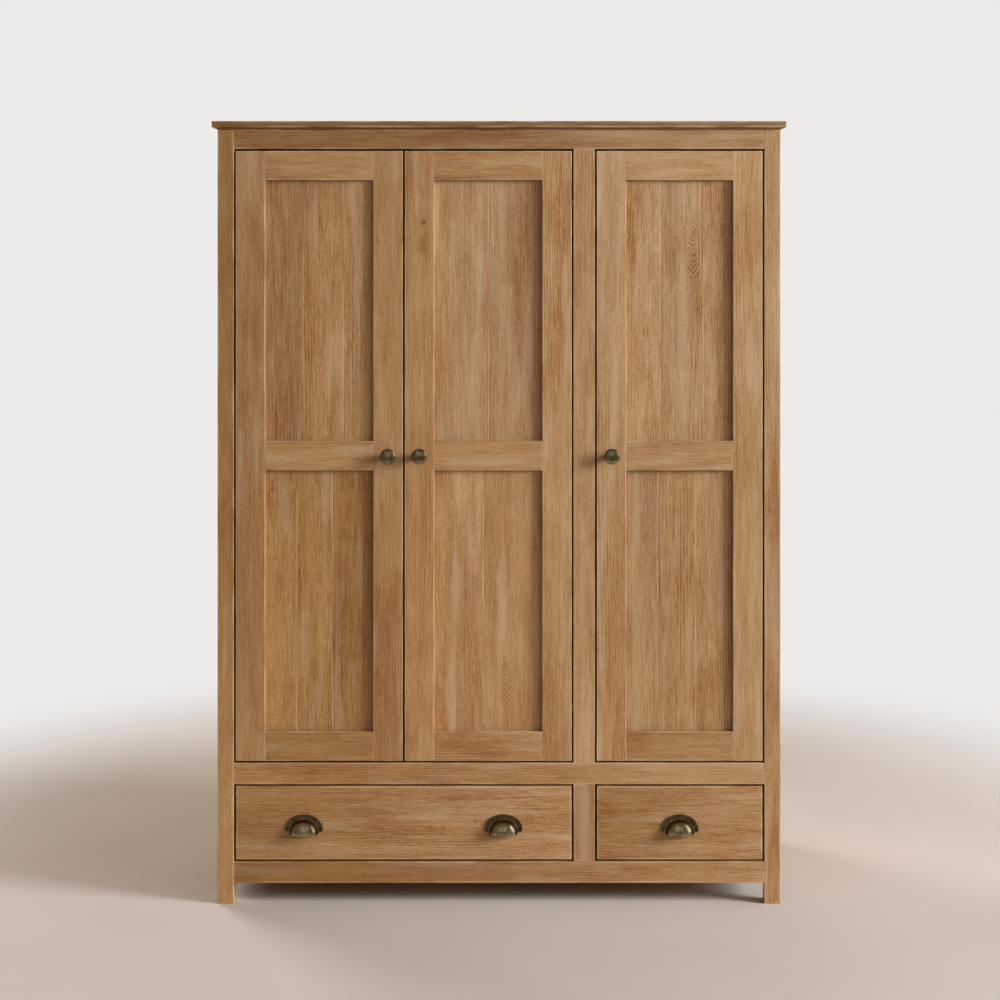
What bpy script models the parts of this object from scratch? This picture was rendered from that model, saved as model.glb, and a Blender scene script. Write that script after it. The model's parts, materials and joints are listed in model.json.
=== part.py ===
"""Free-standing wardrobe: three inset panelled doors above two inset drawers.

Metres, +Z up. The front faces -Y and +X is to the right of someone facing it.
The origin is on the floor, in the middle of the overall box, whose front is the knobs.
Spans such as (low, high) are in world coordinates, whatever the piece's parent is.
"""

import math

import bmesh
import bpy
from mathutils import Matrix, Vector

# Overall size
HEIGHT = 1.829
WIDTH = 1.316                # across the legs
DEPTH = 0.520                # front of the face frame to the back of the rear legs
KNOB_REACH = 0.028           # the knobs stand furthest forward
OVERHANG = 0.0125            # of the top board, at the front and both sides
TOP_EDGE = 0.014             # upright part of the top board's edge
TOP_BEVEL = 0.0055           # height of the bevel below it

# Clearances and eased edges
FIT = 0.0003                 # between pieces that touch
REVEAL = 0.004               # round every door and drawer front
SLIDE_GAP = 0.001            # beside a drawer side
EASE = 0.001                 # chamfer along the edges of a board

# Face frame
LEG_WIDTH = 0.038
FRAME_DEPTH = 0.028
FLOOR_CLEARANCE = 0.049
RAIL_HEIGHT = 0.050
DRAWER_OPENING = 0.1805
DOOR_OPENING = 1.435
MULLION_WIDTH = 0.050
MULLION_X = 0.199

# Carcass behind the face frame
BOARD = 0.018                # thickness of sides, deck, partition and shelves
SIDE_RECESS = 0.003          # side panels, in from the outer faces of the legs
REAR_LEG_DEPTH = 0.038
BACK_PANEL = 0.006
BACK_RECESS = 0.004          # back panel, in from the back of the rear legs
SHELF_SETBACK = 0.023        # shelf fronts behind the face frame
HAT_SHELF_Z = 1.560
ROD_Z = 1.500
ROD_RADIUS = 0.0125
ROD_FLANGE_RADIUS = 0.028
ROD_FLANGE = 0.007
SHELF_Z = {"shelf_lower": 0.806, "shelf_upper": 1.299}

# Doors
DOOR_THICK = 0.021
STILE = 0.069                # width of the stiles and of the three rails
LOCK_RAIL_Z = 1.0475         # height of the middle of the lock rail and of the knob
PANEL_THICK = 0.007
PANEL_SETBACK = 0.0105       # panel face behind the face of the stiles
GROOVE = 0.008               # depth of the panel groove
PANEL_PLAY = 0.0005          # panel edge to the bottom of its groove
KNOB_RADIUS = 0.0185
KNOB_RIM = 0.0185            # widest ring of the knob, out from the door
KNOB_STEM = ((0.0085, 0.0), (0.0085, 0.002), (0.0062, 0.0045), (0.006, 0.009),
             (0.0085, 0.0125), (0.015, 0.0155))

# Concealed hinges: distances from the pin, u towards the free edge and v backwards
HINGE_SETBACK = 0.016        # pin in from the edge of the door
HINGE_DEPTH = 0.011          # pin behind the face of the door
HINGE_END = 0.120            # hinge centre from the end of the door
CUP_U = 0.004
CUP_RADIUS = 0.0172
CUP_BOTTOM = -0.004
CUP_TOP = 0.0115
EAR_HALF_HEIGHT = 0.026
POCKET_U = (-0.0136, 0.0195)
POCKET_BOTTOM = -0.003
POCKET_HALF_HEIGHT = 0.008
PIN_RADIUS = 0.0013
KNUCKLE_RADIUS = 0.0026
KNUCKLE_BORE = 0.0016
ARM_PATH = ((0.0, 0.0), (0.0135, 0.012), (0.0135, 0.0215), (-0.034, 0.0215))
ARM_THICK = 0.0018
ARM_HALF_HEIGHT = 0.0065
PLATE_U = (-0.035, -0.021)
PLATE_HALF_HEIGHT = 0.022

# Drawers
FRONT_THICK = 0.020
DRAWER_SIDE = 0.012
BOX_LENGTH = 0.450
BOX_INSET = 0.001            # drawer sides, in from the ends of the drawer front
BOX_TOP = 0.250
BOTTOM_Z = 0.112
BOTTOM_THICK = 0.006
BOTTOM_GROOVE = 0.006
RUNNER_BOTTOM = 0.083
RUNNER_TOP = 0.1035
GUIDE_TOP = 0.125
RUNNER_GAP = 0.0005          # drawer side above the runner
LEDGE = 0.011                # part of a drawer side's thickness that the runner carries

# Cup pulls
PULL_WIDTH = 0.0895
PULL_HEIGHT = 0.0425
PULL_Z = 0.1675              # underside of the flange
PULL_LOBE = 0.0068
FLANGE = 0.002
CUP_HALF_WIDTH = 0.0335
CUP_RISE = 0.034
CUP_REACH = 0.024
CUP_WALL = 0.0018
LIP_DROP = 0.0025            # the cup's lip below the flange
SCREW_X = 0.039
SCREW_Z = 0.0076
SCREW_HOLE = 0.0022
PULLS = {"drawer_wide": {"pull_left": -0.456, "pull_right": 0.010},
         "drawer_narrow": {"pull": 0.422}}

# Places that follow from those sizes
FRONT = -(DEPTH - KNOB_REACH) / 2
FRAME_BACK = FRONT + FRAME_DEPTH
BACK = FRONT + DEPTH
INNER_BACK = BACK - BACK_RECESS - BACK_PANEL - FIT
OPENING_X = WIDTH / 2 - LEG_WIDTH
MULLION = (MULLION_X - MULLION_WIDTH / 2, MULLION_X + MULLION_WIDTH / 2)
PARTITION = (MULLION_X - BOARD / 2, MULLION_X + BOARD / 2)
SIDE_OUTER = WIDTH / 2 - SIDE_RECESS
SIDE_INNER = SIDE_OUTER - BOARD
TOP_UNDERSIDE = HEIGHT - TOP_EDGE - TOP_BEVEL
BOTTOM_RAIL_TOP = FLOOR_CLEARANCE + RAIL_HEIGHT
DRAWER_HEAD = BOTTOM_RAIL_TOP + DRAWER_OPENING
DECK_TOP = DRAWER_HEAD + RAIL_HEIGHT
DOOR_HEAD = DECK_TOP + DOOR_OPENING
DOOR_Z = (DECK_TOP + REVEAL, DOOR_HEAD - REVEAL)
LEFT_DOOR_WIDTH = (MULLION[0] + OPENING_X - 3 * REVEAL) / 2
CARCASS_Y = (FRAME_BACK + FIT, INNER_BACK)

# name: (low x, high x, which way the door reaches from its hinge)
DOORS = {
    "left": (-OPENING_X + REVEAL, -OPENING_X + REVEAL + LEFT_DOOR_WIDTH, 1),
    "middle": (MULLION[0] - REVEAL - LEFT_DOOR_WIDTH, MULLION[0] - REVEAL, -1),
    "right": (MULLION[1] + REVEAL, OPENING_X - REVEAL, -1),
}
DRAWERS = {
    "drawer_wide": (-OPENING_X + REVEAL, MULLION[0] - REVEAL),
    "drawer_narrow": (MULLION[1] + REVEAL, OPENING_X - REVEAL),
}


def clear_scene():
    for obj in list(bpy.data.objects):
        bpy.data.objects.remove(obj, do_unlink=True)


def make_material(name, colour, roughness, metallic=0.0):
    material = bpy.data.materials.new(name)
    material.use_nodes = True
    shader = material.node_tree.nodes["Principled BSDF"]
    shader.inputs["Base Color"].default_value = (*colour, 1.0)
    shader.inputs["Roughness"].default_value = roughness
    shader.inputs["Metallic"].default_value = metallic
    return material


def add_object(name, bm, material, place, parent=None):
    """Turn a bmesh into an object whose origin is at place, in world coordinates."""
    bmesh.ops.recalc_face_normals(bm, faces=bm.faces)
    mesh = bpy.data.meshes.new(name)
    bm.to_mesh(mesh)
    bm.free()
    mesh.materials.append(material)
    obj = bpy.data.objects.new(name, mesh)
    bpy.context.collection.objects.link(obj)
    obj.parent = parent
    obj.location = Vector(place) - (parent.location if parent else Vector())
    return obj


def add_axis(name, place):
    """An empty on a joint's axis, for the pieces that move on it."""
    empty = bpy.data.objects.new(name, None)
    bpy.context.collection.objects.link(empty)
    empty.location = place
    return empty


def as_tool(obj):
    obj.hide_render = True
    obj.display_type = "WIRE"
    return obj


def combine(obj, tool, operation):
    modifier = obj.modifiers.new(tool.name, "BOOLEAN")
    modifier.operation = operation
    modifier.solver = "EXACT"
    modifier.object = as_tool(tool)


def block(name, x, y, z, material, parent=None):
    """A plain rectangular block with square edges."""
    size = (x[1] - x[0], y[1] - y[0], z[1] - z[0])
    bm = bmesh.new()
    bmesh.ops.create_cube(bm, size=1.0, matrix=Matrix.Diagonal((*size, 1.0)))
    return add_object(name, bm, material, (sum(x) / 2, sum(y) / 2, sum(z) / 2), parent)


def board(name, x, y, z, material, parent=None):
    """A rectangular board with lightly chamfered edges."""
    obj = block(name, x, y, z, material, parent)
    edges = obj.modifiers.new("eased_edges", "BEVEL")
    edges.width = EASE
    edges.segments = 1
    return obj


def prism(name, outline, axis, span, material, place, parent=None):
    """Extrude a flat outline: (x, z) along Y, or (x, y) along Z, about place."""
    bm = bmesh.new()
    if axis == "Y":
        ring = [bm.verts.new((a, span[0], b)) for a, b in outline]
        travel = Vector((0, span[1] - span[0], 0))
    else:
        ring = [bm.verts.new((a, b, span[0])) for a, b in outline]
        travel = Vector((0, 0, span[1] - span[0]))
    face = bm.faces.new(ring)
    extruded = bmesh.ops.extrude_face_region(bm, geom=[face], use_keep_orig=True)
    moved = [item for item in extruded["geom"] if isinstance(item, bmesh.types.BMVert)]
    bmesh.ops.translate(bm, vec=travel, verts=moved)
    return add_object(name, bm, material, place, parent)


def drum(name, radius, span, axis, sides, material, place, parent=None):
    """A cylinder along Y or Z, from span[0] to span[1] about place."""
    bm = bmesh.new()
    middle = (span[0] + span[1]) / 2
    if axis == "Y":
        turn = Matrix.Translation((0, middle, 0)) @ Matrix.Rotation(math.radians(90), 4, "X")
    else:
        turn = Matrix.Translation((0, 0, middle))
    bmesh.ops.create_cone(bm, cap_ends=True, segments=sides, radius1=radius, radius2=radius,
                          depth=span[1] - span[0], matrix=turn)
    return add_object(name, bm, material, place, parent)


def turned(name, profile, turn, sides, material, place, parent=None):
    """Spin a (radius, height) profile whose two ends lie on the axis, then turn it."""
    bm = bmesh.new()
    points = [bm.verts.new((radius, 0, height)) for radius, height in profile]
    edges = [bm.edges.new(pair) for pair in zip(points, points[1:])]
    bmesh.ops.spin(bm, geom=points + edges, cent=(0, 0, 0), axis=(0, 0, 1),
                   angle=math.tau, steps=sides, use_merge=True)
    bmesh.ops.remove_doubles(bm, verts=bm.verts, dist=1e-6)
    bmesh.ops.transform(bm, matrix=turn, verts=bm.verts)
    obj = add_object(name, bm, material, place, parent)
    obj.data.shade_smooth()
    obj.data.set_sharp_from_angle(angle=math.radians(35))
    return obj


def strip_outline(path, thickness):
    """Outline of a strip of even thickness along a path of (x, y) points."""
    points = [Vector(point) for point in path]
    left = []
    right = []
    for index, point in enumerate(points):
        before = (point - points[index - 1]).normalized() if index else None
        after = (points[index + 1] - point).normalized() if index < len(points) - 1 else None
        normals = [Vector((-d.y, d.x)) for d in (before, after) if d is not None]
        mitre = sum(normals, Vector((0, 0))).normalized()
        offset = mitre * (thickness / 2 / mitre.dot(normals[0]))
        left.append(point + offset)
        right.append(point - offset)
    return [tuple(point) for point in left + right[::-1]]


def half_moon_outline():
    """Arched flange of a cup pull, (x, z) from the middle of its lower edge."""
    half = PULL_WIDTH / 2
    steps = 5
    points = []
    for step in range(steps + 1):
        angle = math.pi + step * math.pi / 2 / steps
        points.append((-half + PULL_LOBE + PULL_LOBE * math.cos(angle),
                       PULL_LOBE + PULL_LOBE * math.sin(angle)))
    for step in range(steps + 1):
        angle = -math.pi / 2 + step * math.pi / 2 / steps
        points.append((half - PULL_LOBE + PULL_LOBE * math.cos(angle),
                       PULL_LOBE + PULL_LOBE * math.sin(angle)))
    arch = 20
    for step in range(1, arch):
        angle = step * math.pi / arch
        points.append((half * math.cos(angle),
                       PULL_LOBE + (PULL_HEIGHT - PULL_LOBE) * math.sin(angle)))
    return points


def ellipsoid(name, radii, material, place, parent):
    bm = bmesh.new()
    bmesh.ops.create_uvsphere(bm, u_segments=28, v_segments=14, radius=1.0,
                              matrix=Matrix.Diagonal((*radii, 1.0)))
    return add_object(name, bm, material, place, parent)


def make_top(oak):
    """The top board: an upright edge, and a bevel below it on the front and sides."""
    half = WIDTH / 2
    outer = (half + OVERHANG, FRONT - OVERHANG)
    levels = ((HEIGHT, *outer), (HEIGHT - TOP_EDGE, *outer), (TOP_UNDERSIDE, half, FRONT))
    bm = bmesh.new()
    rings = []
    for z, x, y in levels:
        rings.append([bm.verts.new(corner) for corner in
                      ((-x, y, z), (x, y, z), (x, BACK, z), (-x, BACK, z))])
    bm.faces.new(rings[0])
    bm.faces.new(rings[-1])
    for upper, lower in zip(rings, rings[1:]):
        for index in range(4):
            after = (index + 1) % 4
            bm.faces.new((upper[index], upper[after], lower[after], lower[index]))
    obj = add_object("top_board", bm, oak, (0, 0, 0))
    edges = obj.modifiers.new("eased_edges", "BEVEL")
    edges.width = EASE
    edges.segments = 1
    edges.limit_method = "ANGLE"
    edges.angle_limit = math.radians(60)


def make_face_frame(oak):
    head = TOP_UNDERSIDE - FIT
    depth = (FRONT, FRAME_BACK)
    outer = WIDTH / 2
    between = (-OPENING_X + FIT, OPENING_X - FIT)
    board("leg_front_left", (-outer, -OPENING_X), depth, (0, head), oak)
    board("leg_front_right", (OPENING_X, outer), depth, (0, head), oak)
    board("rail_top", between, depth, (DOOR_HEAD, head), oak)
    board("rail_middle", between, depth, (DRAWER_HEAD, DECK_TOP), oak)
    board("rail_bottom", between, depth, (FLOOR_CLEARANCE, BOTTOM_RAIL_TOP), oak)
    board("mullion_upper", MULLION, depth, (DECK_TOP + FIT, DOOR_HEAD - FIT), oak)
    board("mullion_lower", MULLION, depth, (BOTTOM_RAIL_TOP + FIT, DRAWER_HEAD - FIT), oak)


def make_carcass(oak, plywood):
    head = TOP_UNDERSIDE - FIT
    rear_front = BACK - REAR_LEG_DEPTH
    inside = (-SIDE_INNER + FIT, SIDE_INNER - FIT)
    for word, sign in (("left", -1), ("right", 1)):
        side = sorted((sign * SIDE_INNER, sign * SIDE_OUTER))
        leg = sorted((sign * SIDE_INNER, sign * WIDTH / 2))
        side_y = (FRAME_BACK + FIT, rear_front - FIT)
        board("side_panel_" + word, side, side_y, (FLOOR_CLEARANCE, head), oak)
        board("leg_rear_" + word, leg, (rear_front, BACK), (0, head), oak)
    board("back_panel", inside, (INNER_BACK + FIT, BACK - BACK_RECESS),
          (FLOOR_CLEARANCE, head), plywood)
    board("deck", inside, CARCASS_Y, (DECK_TOP - BOARD, DECK_TOP), oak)
    board("partition", PARTITION, CARCASS_Y, (DECK_TOP + FIT, head), oak)
    board("drawer_divider", PARTITION, CARCASS_Y,
          (GUIDE_TOP + FIT, DECK_TOP - BOARD - FIT), oak)


def make_interior(oak, steel):
    shelf_y = (FRAME_BACK + SHELF_SETBACK, INNER_BACK)
    left = (-SIDE_INNER + FIT, PARTITION[0] - FIT)
    right = (PARTITION[1] + FIT, SIDE_INNER - FIT)
    board("hat_shelf", left, shelf_y, (HAT_SHELF_Z, HAT_SHELF_Z + BOARD), oak)
    for name, z in SHELF_Z.items():
        board(name, right, shelf_y, (z, z + BOARD), oak)
    length = left[1] - left[0]
    rod = ((0, 0), (ROD_FLANGE_RADIUS, 0), (ROD_FLANGE_RADIUS, ROD_FLANGE),
           (ROD_RADIUS, ROD_FLANGE), (ROD_RADIUS, length - ROD_FLANGE),
           (ROD_FLANGE_RADIUS, length - ROD_FLANGE), (ROD_FLANGE_RADIUS, length), (0, length))
    turned("hanging_rod", rod, Matrix.Rotation(math.radians(90), 4, "Y"), 24, steel,
           (left[0], sum(CARCASS_Y) / 2, ROD_Z))


def make_runners(oak):
    """Outer runners are L-shaped; the centre one is a T that both drawers share."""
    for word, sign in (("left", -1), ("right", 1)):
        wall = sign * (SIDE_INNER - FIT)
        guide = sign * (OPENING_X - REVEAL - BOX_INSET + SLIDE_GAP)
        tip = guide - sign * (SLIDE_GAP + LEDGE)
        outline = ((wall, RUNNER_BOTTOM), (tip, RUNNER_BOTTOM), (tip, RUNNER_TOP),
                   (guide, RUNNER_TOP), (guide, GUIDE_TOP), (wall, GUIDE_TOP))
        prism("runner_" + word, outline, "Y", CARCASS_Y, oak, (0, 0, 0))
    guide = MULLION_WIDTH / 2 + REVEAL + BOX_INSET - SLIDE_GAP
    tip = guide + SLIDE_GAP + LEDGE
    half = ((tip, RUNNER_BOTTOM), (tip, RUNNER_TOP), (guide, RUNNER_TOP), (guide, GUIDE_TOP))
    outline = half + tuple((-x, z) for x, z in reversed(half))
    prism("runner_centre", outline, "Y", CARCASS_Y, oak, (MULLION_X, 0, 0))


def make_door_frame(name, low, high, axis, oak):
    """Stiles and rails glued into one frame, with grooves for the two panels."""
    y = (FRONT, FRONT + DOOR_THICK)
    frame = board(name + "_frame", (low, high), y, DOOR_Z, oak, axis)
    through = (FRONT - STILE, FRONT + STILE)
    panel_y = (FRONT + PANEL_SETBACK, FRONT + PANEL_SETBACK + PANEL_THICK)
    lock = (LOCK_RAIL_Z - STILE / 2, LOCK_RAIL_Z + STILE / 2)
    spans = {"lower": (DOOR_Z[0] + STILE, lock[0]), "upper": (lock[1], DOOR_Z[1] - STILE)}
    across = (low + STILE, high - STILE)
    for word, up in spans.items():
        key = name + "_" + word
        combine(frame, block(key + "_sight", across, through, up, oak, axis), "DIFFERENCE")
        groove_x = (across[0] - GROOVE, across[1] + GROOVE)
        groove_z = (up[0] - GROOVE, up[1] + GROOVE)
        groove_y = (panel_y[0] - FIT, panel_y[1] + FIT)
        combine(frame, block(key + "_groove", groove_x, groove_y, groove_z, oak, axis),
                "DIFFERENCE")
        board(name + "_panel_" + word,
              (groove_x[0] + PANEL_PLAY, groove_x[1] - PANEL_PLAY), panel_y,
              (groove_z[0] + PANEL_PLAY, groove_z[1] - PANEL_PLAY), oak, axis)
    return frame


def make_knob(name, x, axis, brass):
    dome = []
    steps = 6
    for step in range(steps + 1):
        angle = step * math.pi / 2 / steps
        dome.append((KNOB_RADIUS * math.cos(angle) if step < steps else 0,
                     KNOB_RIM + (KNOB_REACH - KNOB_RIM) * math.sin(angle)))
    profile = [(0, FIT)] + [(radius, height + FIT) for radius, height in KNOB_STEM] + dome
    turned(name, profile, Matrix.Rotation(math.radians(90), 4, "X"), 24, brass,
           (x, FRONT, LOCK_RAIL_Z), axis)


def make_hinge(name, frame, reach, z, axis, steel):
    """One concealed hinge: the cup and its pin in the door, the arm on the carcass."""
    pin = (axis.location.x, axis.location.y, z)

    def along(low, high):
        return sorted((pin[0] + reach * low, pin[0] + reach * high))

    def behind(low, high):
        return (pin[1] + low, pin[1] + high)

    centre = (pin[0] + reach * CUP_U, pin[1], z)
    bore = drum(name + "_bore", CUP_RADIUS + FIT, (CUP_BOTTOM - FIT, STILE), "Y", 32, steel,
                centre, axis)
    combine(frame, bore, "DIFFERENCE")

    cup = drum(name + "_cup", CUP_RADIUS, (CUP_BOTTOM, CUP_TOP), "Y", 32, steel, centre, axis)
    ears_v = (DOOR_THICK - HINGE_DEPTH + FIT, CUP_TOP)
    ears = block(name + "_ears", along(CUP_U - 0.006, CUP_U + 0.006), behind(*ears_v),
                 (z - EAR_HALF_HEIGHT, z + EAR_HALF_HEIGHT), steel, axis)
    combine(cup, ears, "UNION")
    pocket = block(name + "_pocket", along(*POCKET_U), behind(POCKET_BOTTOM, STILE),
                   (z - POCKET_HALF_HEIGHT, z + POCKET_HALF_HEIGHT), steel, axis)
    combine(cup, pocket, "DIFFERENCE")
    pin_half = POCKET_HALF_HEIGHT + 2 * PIN_RADIUS
    combine(cup, drum(name + "_pin", PIN_RADIUS, (-pin_half, pin_half), "Z", 16, steel, pin,
                      axis), "UNION")

    path = [(reach * u, v) for u, v in ARM_PATH]
    across = (-ARM_HALF_HEIGHT, ARM_HALF_HEIGHT)
    arm = prism(name + "_arm", strip_outline(path, ARM_THICK), "Z", across, steel, pin)
    combine(arm, drum(name + "_knuckle", KNUCKLE_RADIUS, across, "Z", 16, steel, pin), "UNION")
    plate_v = (FRAME_DEPTH - HINGE_DEPTH + FIT, ARM_PATH[-1][1] - ARM_THICK / 4)
    plate = block(name + "_plate", along(*PLATE_U), behind(*plate_v),
                  (z - PLATE_HALF_HEIGHT, z + PLATE_HALF_HEIGHT), steel)
    combine(arm, plate, "UNION")
    combine(arm, drum(name + "_knuckle_bore", KNUCKLE_BORE, (-STILE, STILE), "Z", 16, steel,
                      pin), "DIFFERENCE")


def make_door(word, low, high, reach, oak, brass, steel):
    name = "door_" + word
    edge = low if reach > 0 else high
    free = high if reach > 0 else low
    axis = add_axis(name + "_axis", (edge + reach * HINGE_SETBACK, FRONT + HINGE_DEPTH, 0))
    frame = make_door_frame(name, low, high, axis, oak)
    make_knob(name + "_knob", free - reach * STILE / 2, axis, brass)
    heights = {"lower": DOOR_Z[0] + HINGE_END, "upper": DOOR_Z[1] - HINGE_END}
    for place, z in heights.items():
        make_hinge("hinge_" + word + "_" + place, frame, reach, z, axis, steel)


def make_pull(name, x, axis, brass):
    """A cup pull: an arched flange and a quarter-round cup that is open below."""
    face = FRONT - FIT
    root = (x, face - FLANGE / 2, PULL_Z - LIP_DROP)
    radii = (CUP_HALF_WIDTH, CUP_REACH - FLANGE / 2, CUP_RISE)
    pull = ellipsoid(name, radii, brass, root, axis)
    margin = PULL_WIDTH
    keep = block(name + "_keep", (x - margin, x + margin), (root[1] - margin, root[1]),
                 (root[2], root[2] + margin), brass, axis)
    combine(pull, keep, "INTERSECT")
    hollow = ellipsoid(name + "_hollow", [r - CUP_WALL for r in radii], brass, root, axis)
    combine(pull, hollow, "DIFFERENCE")
    flange = prism(name + "_flange", half_moon_outline(), "Y", (-FLANGE, 0), brass,
                   (x, face, PULL_Z), axis)
    combine(pull, flange, "UNION")
    for side in (-1, 1):
        hole = drum(name + "_screw_hole", SCREW_HOLE, (-margin, margin), "Y", 12, brass,
                    (x + side * SCREW_X, face, PULL_Z + SCREW_Z), axis)
        combine(pull, hole, "DIFFERENCE")


def make_drawer(name, low, high, oak, plywood, brass):
    z = (BOTTOM_RAIL_TOP + REVEAL, DRAWER_HEAD - REVEAL)
    axis = add_axis(name + "_axis", ((low + high) / 2, FRONT, sum(z) / 2))
    box_front = FRONT + FRONT_THICK + FIT
    box_y = (box_front, box_front + BOX_LENGTH)
    box_z = (RUNNER_TOP + RUNNER_GAP, BOX_TOP)
    left = (low + BOX_INSET, low + BOX_INSET + DRAWER_SIDE)
    right = (high - BOX_INSET - DRAWER_SIDE, high - BOX_INSET)
    inner = (left[1], right[0])

    front = board(name + "_front", (low, high), (FRONT, FRONT + FRONT_THICK), z, oak, axis)
    sides = [board(name + "_side_left", left, box_y, box_z, oak, axis),
             board(name + "_side_right", right, box_y, box_z, oak, axis)]
    bottom_z = (BOTTOM_Z, BOTTOM_Z + BOTTOM_THICK)
    board(name + "_back", (inner[0] + FIT, inner[1] - FIT), (box_y[1] - DRAWER_SIDE, box_y[1]),
          (bottom_z[1] + FIT, BOX_TOP), oak, axis)
    groove_x = (inner[0] - BOTTOM_GROOVE, inner[1] + BOTTOM_GROOVE)
    groove_y = FRONT + FRONT_THICK - BOTTOM_GROOVE
    board(name + "_bottom", (groove_x[0] + FIT, groove_x[1] - FIT), (groove_y + FIT, box_y[1]),
          bottom_z, plywood, axis)
    groove = block(name + "_groove", groove_x, (groove_y, box_y[1] + BOTTOM_GROOVE),
                   (bottom_z[0] - FIT, bottom_z[1] + FIT), oak, axis)
    for piece in [front] + sides:
        combine(piece, groove, "DIFFERENCE")
    for word, x in PULLS[name].items():
        make_pull(name + "_" + word, x, axis, brass)


def main():
    clear_scene()
    oak = make_material("oak_finish", (0.40, 0.21, 0.09), 0.45)
    plywood = make_material("plywood", (0.50, 0.33, 0.18), 0.6)
    brass = make_material("antique_brass", (0.16, 0.13, 0.07), 0.35, 1.0)
    steel = make_material("nickel_steel", (0.55, 0.55, 0.54), 0.3, 1.0)
    make_top(oak)
    make_face_frame(oak)
    make_carcass(oak, plywood)
    make_interior(oak, steel)
    make_runners(oak)
    for word, (low, high, reach) in DOORS.items():
        make_door(word, low, high, reach, oak, brass, steel)
    for name, (low, high) in DRAWERS.items():
        make_drawer(name, low, high, oak, plywood, brass)


main()
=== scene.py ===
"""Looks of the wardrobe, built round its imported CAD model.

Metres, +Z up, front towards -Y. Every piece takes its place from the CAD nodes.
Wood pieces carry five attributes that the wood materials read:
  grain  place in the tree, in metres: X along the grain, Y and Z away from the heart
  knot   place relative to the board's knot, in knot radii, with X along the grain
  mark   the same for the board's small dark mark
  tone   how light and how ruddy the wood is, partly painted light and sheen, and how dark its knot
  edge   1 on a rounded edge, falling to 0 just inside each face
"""

import json
import math
import random

import bmesh
import bpy
from mathutils import Matrix, Vector

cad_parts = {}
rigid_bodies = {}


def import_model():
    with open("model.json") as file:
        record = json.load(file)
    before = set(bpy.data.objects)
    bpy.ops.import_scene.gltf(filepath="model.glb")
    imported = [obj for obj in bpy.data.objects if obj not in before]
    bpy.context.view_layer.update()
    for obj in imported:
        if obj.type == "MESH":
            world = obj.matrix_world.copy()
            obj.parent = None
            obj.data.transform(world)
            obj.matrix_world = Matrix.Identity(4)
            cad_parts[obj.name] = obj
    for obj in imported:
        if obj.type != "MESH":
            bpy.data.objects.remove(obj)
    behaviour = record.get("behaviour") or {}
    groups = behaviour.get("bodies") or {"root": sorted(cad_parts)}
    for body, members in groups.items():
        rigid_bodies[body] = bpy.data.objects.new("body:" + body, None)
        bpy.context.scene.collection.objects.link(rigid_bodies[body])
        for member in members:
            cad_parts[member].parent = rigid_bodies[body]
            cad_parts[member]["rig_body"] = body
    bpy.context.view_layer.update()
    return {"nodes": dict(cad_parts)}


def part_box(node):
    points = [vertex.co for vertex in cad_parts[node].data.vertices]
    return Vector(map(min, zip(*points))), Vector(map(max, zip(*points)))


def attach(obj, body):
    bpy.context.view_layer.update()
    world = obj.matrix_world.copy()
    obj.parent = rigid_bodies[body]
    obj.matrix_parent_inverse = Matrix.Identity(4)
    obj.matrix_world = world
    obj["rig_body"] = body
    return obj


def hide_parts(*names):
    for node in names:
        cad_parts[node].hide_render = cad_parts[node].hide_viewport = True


# How the pieces fit together and round the CAD model
TONGUE = 0.0075  # a door panel's edge runs this far into its groove
FIT = 0.0003  # gap between pieces that touch
GROOVE_RUN = 0.01  # a drawer's groove runs on this far behind its bottom
DOOR_EASE = Vector((0.0002, 0.0, 0.0005))  # planed off a door's edges
FRONT_EASE = Vector((0.0006, 0.0, 0.0006))  # planed off a drawer front's edges
TOP_EDGE = 0.014  # upright part of the top board's edge
OVERHANG = 0.0125  # of the top board over the front and the sides

# Finish of the wood pieces
EASED = 0.0012  # rounding of exposed edges
STILE_EASE = 0.0008  # rounding of a door's stiles and rails
JOINED = 0.0005  # rounding where boards are glued flush
SEAM = 0.0011  # rounding of the boards in a door panel
WEAR_AND_HIGHLIGHT_REACH = 0.004  # how deep in from an edge the worn paling and painted highlight can reach
NARROW = 0.0016  # the same on the doors, whose edges show as thin pale lines, worn and with a painted highlight
DOOR_WEAR_AND_HIGHLIGHT = 1.3  # of a door's stiles and rails: worn edges with a painted highlight
PANEL_WEAR_AND_HIGHLIGHT = 0.9  # of the boards in a door panel: worn edges with a painted highlight
ROUND_STEPS = 3  # faces across a rounding
SHARP = math.radians(40)  # edges sharper than this stay sharp
FAR_KNOT = Vector((50.0, 50.0, 50.0))  # for boards without a knot or mark

MIXED = 0.09  # how much the boards of a glued-up piece differ in tone
MATCHED = 0.04  # the same for pieces of one board
RUDDY_SPREAD = 0.3  # how much any two boards differ in how ruddy they are

# Cup pulls
PULL_FLANGE = 0.002  # thickness of the flange
PULL_LOBE = 0.0068  # radius of the flange's lower corners
PULL_RIM = 0.0006  # rounding of the flange's front edge
PULL_CUP = (0.0335, 0.0240, 0.0340)  # half width, reach and rise of the cup
PULL_WALL = 0.0018  # thickness of the cup
PULL_LIP = 0.0025  # the cup's lip below the flange
PULL_HOLE = 0.0026  # radius of the screw holes
PULL_SCREW = (0.039, 0.0076)  # a screw out from the middle and up the flange
PULL_RIDGE = 0.0010  # radius of the bead between cup and flange

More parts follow.
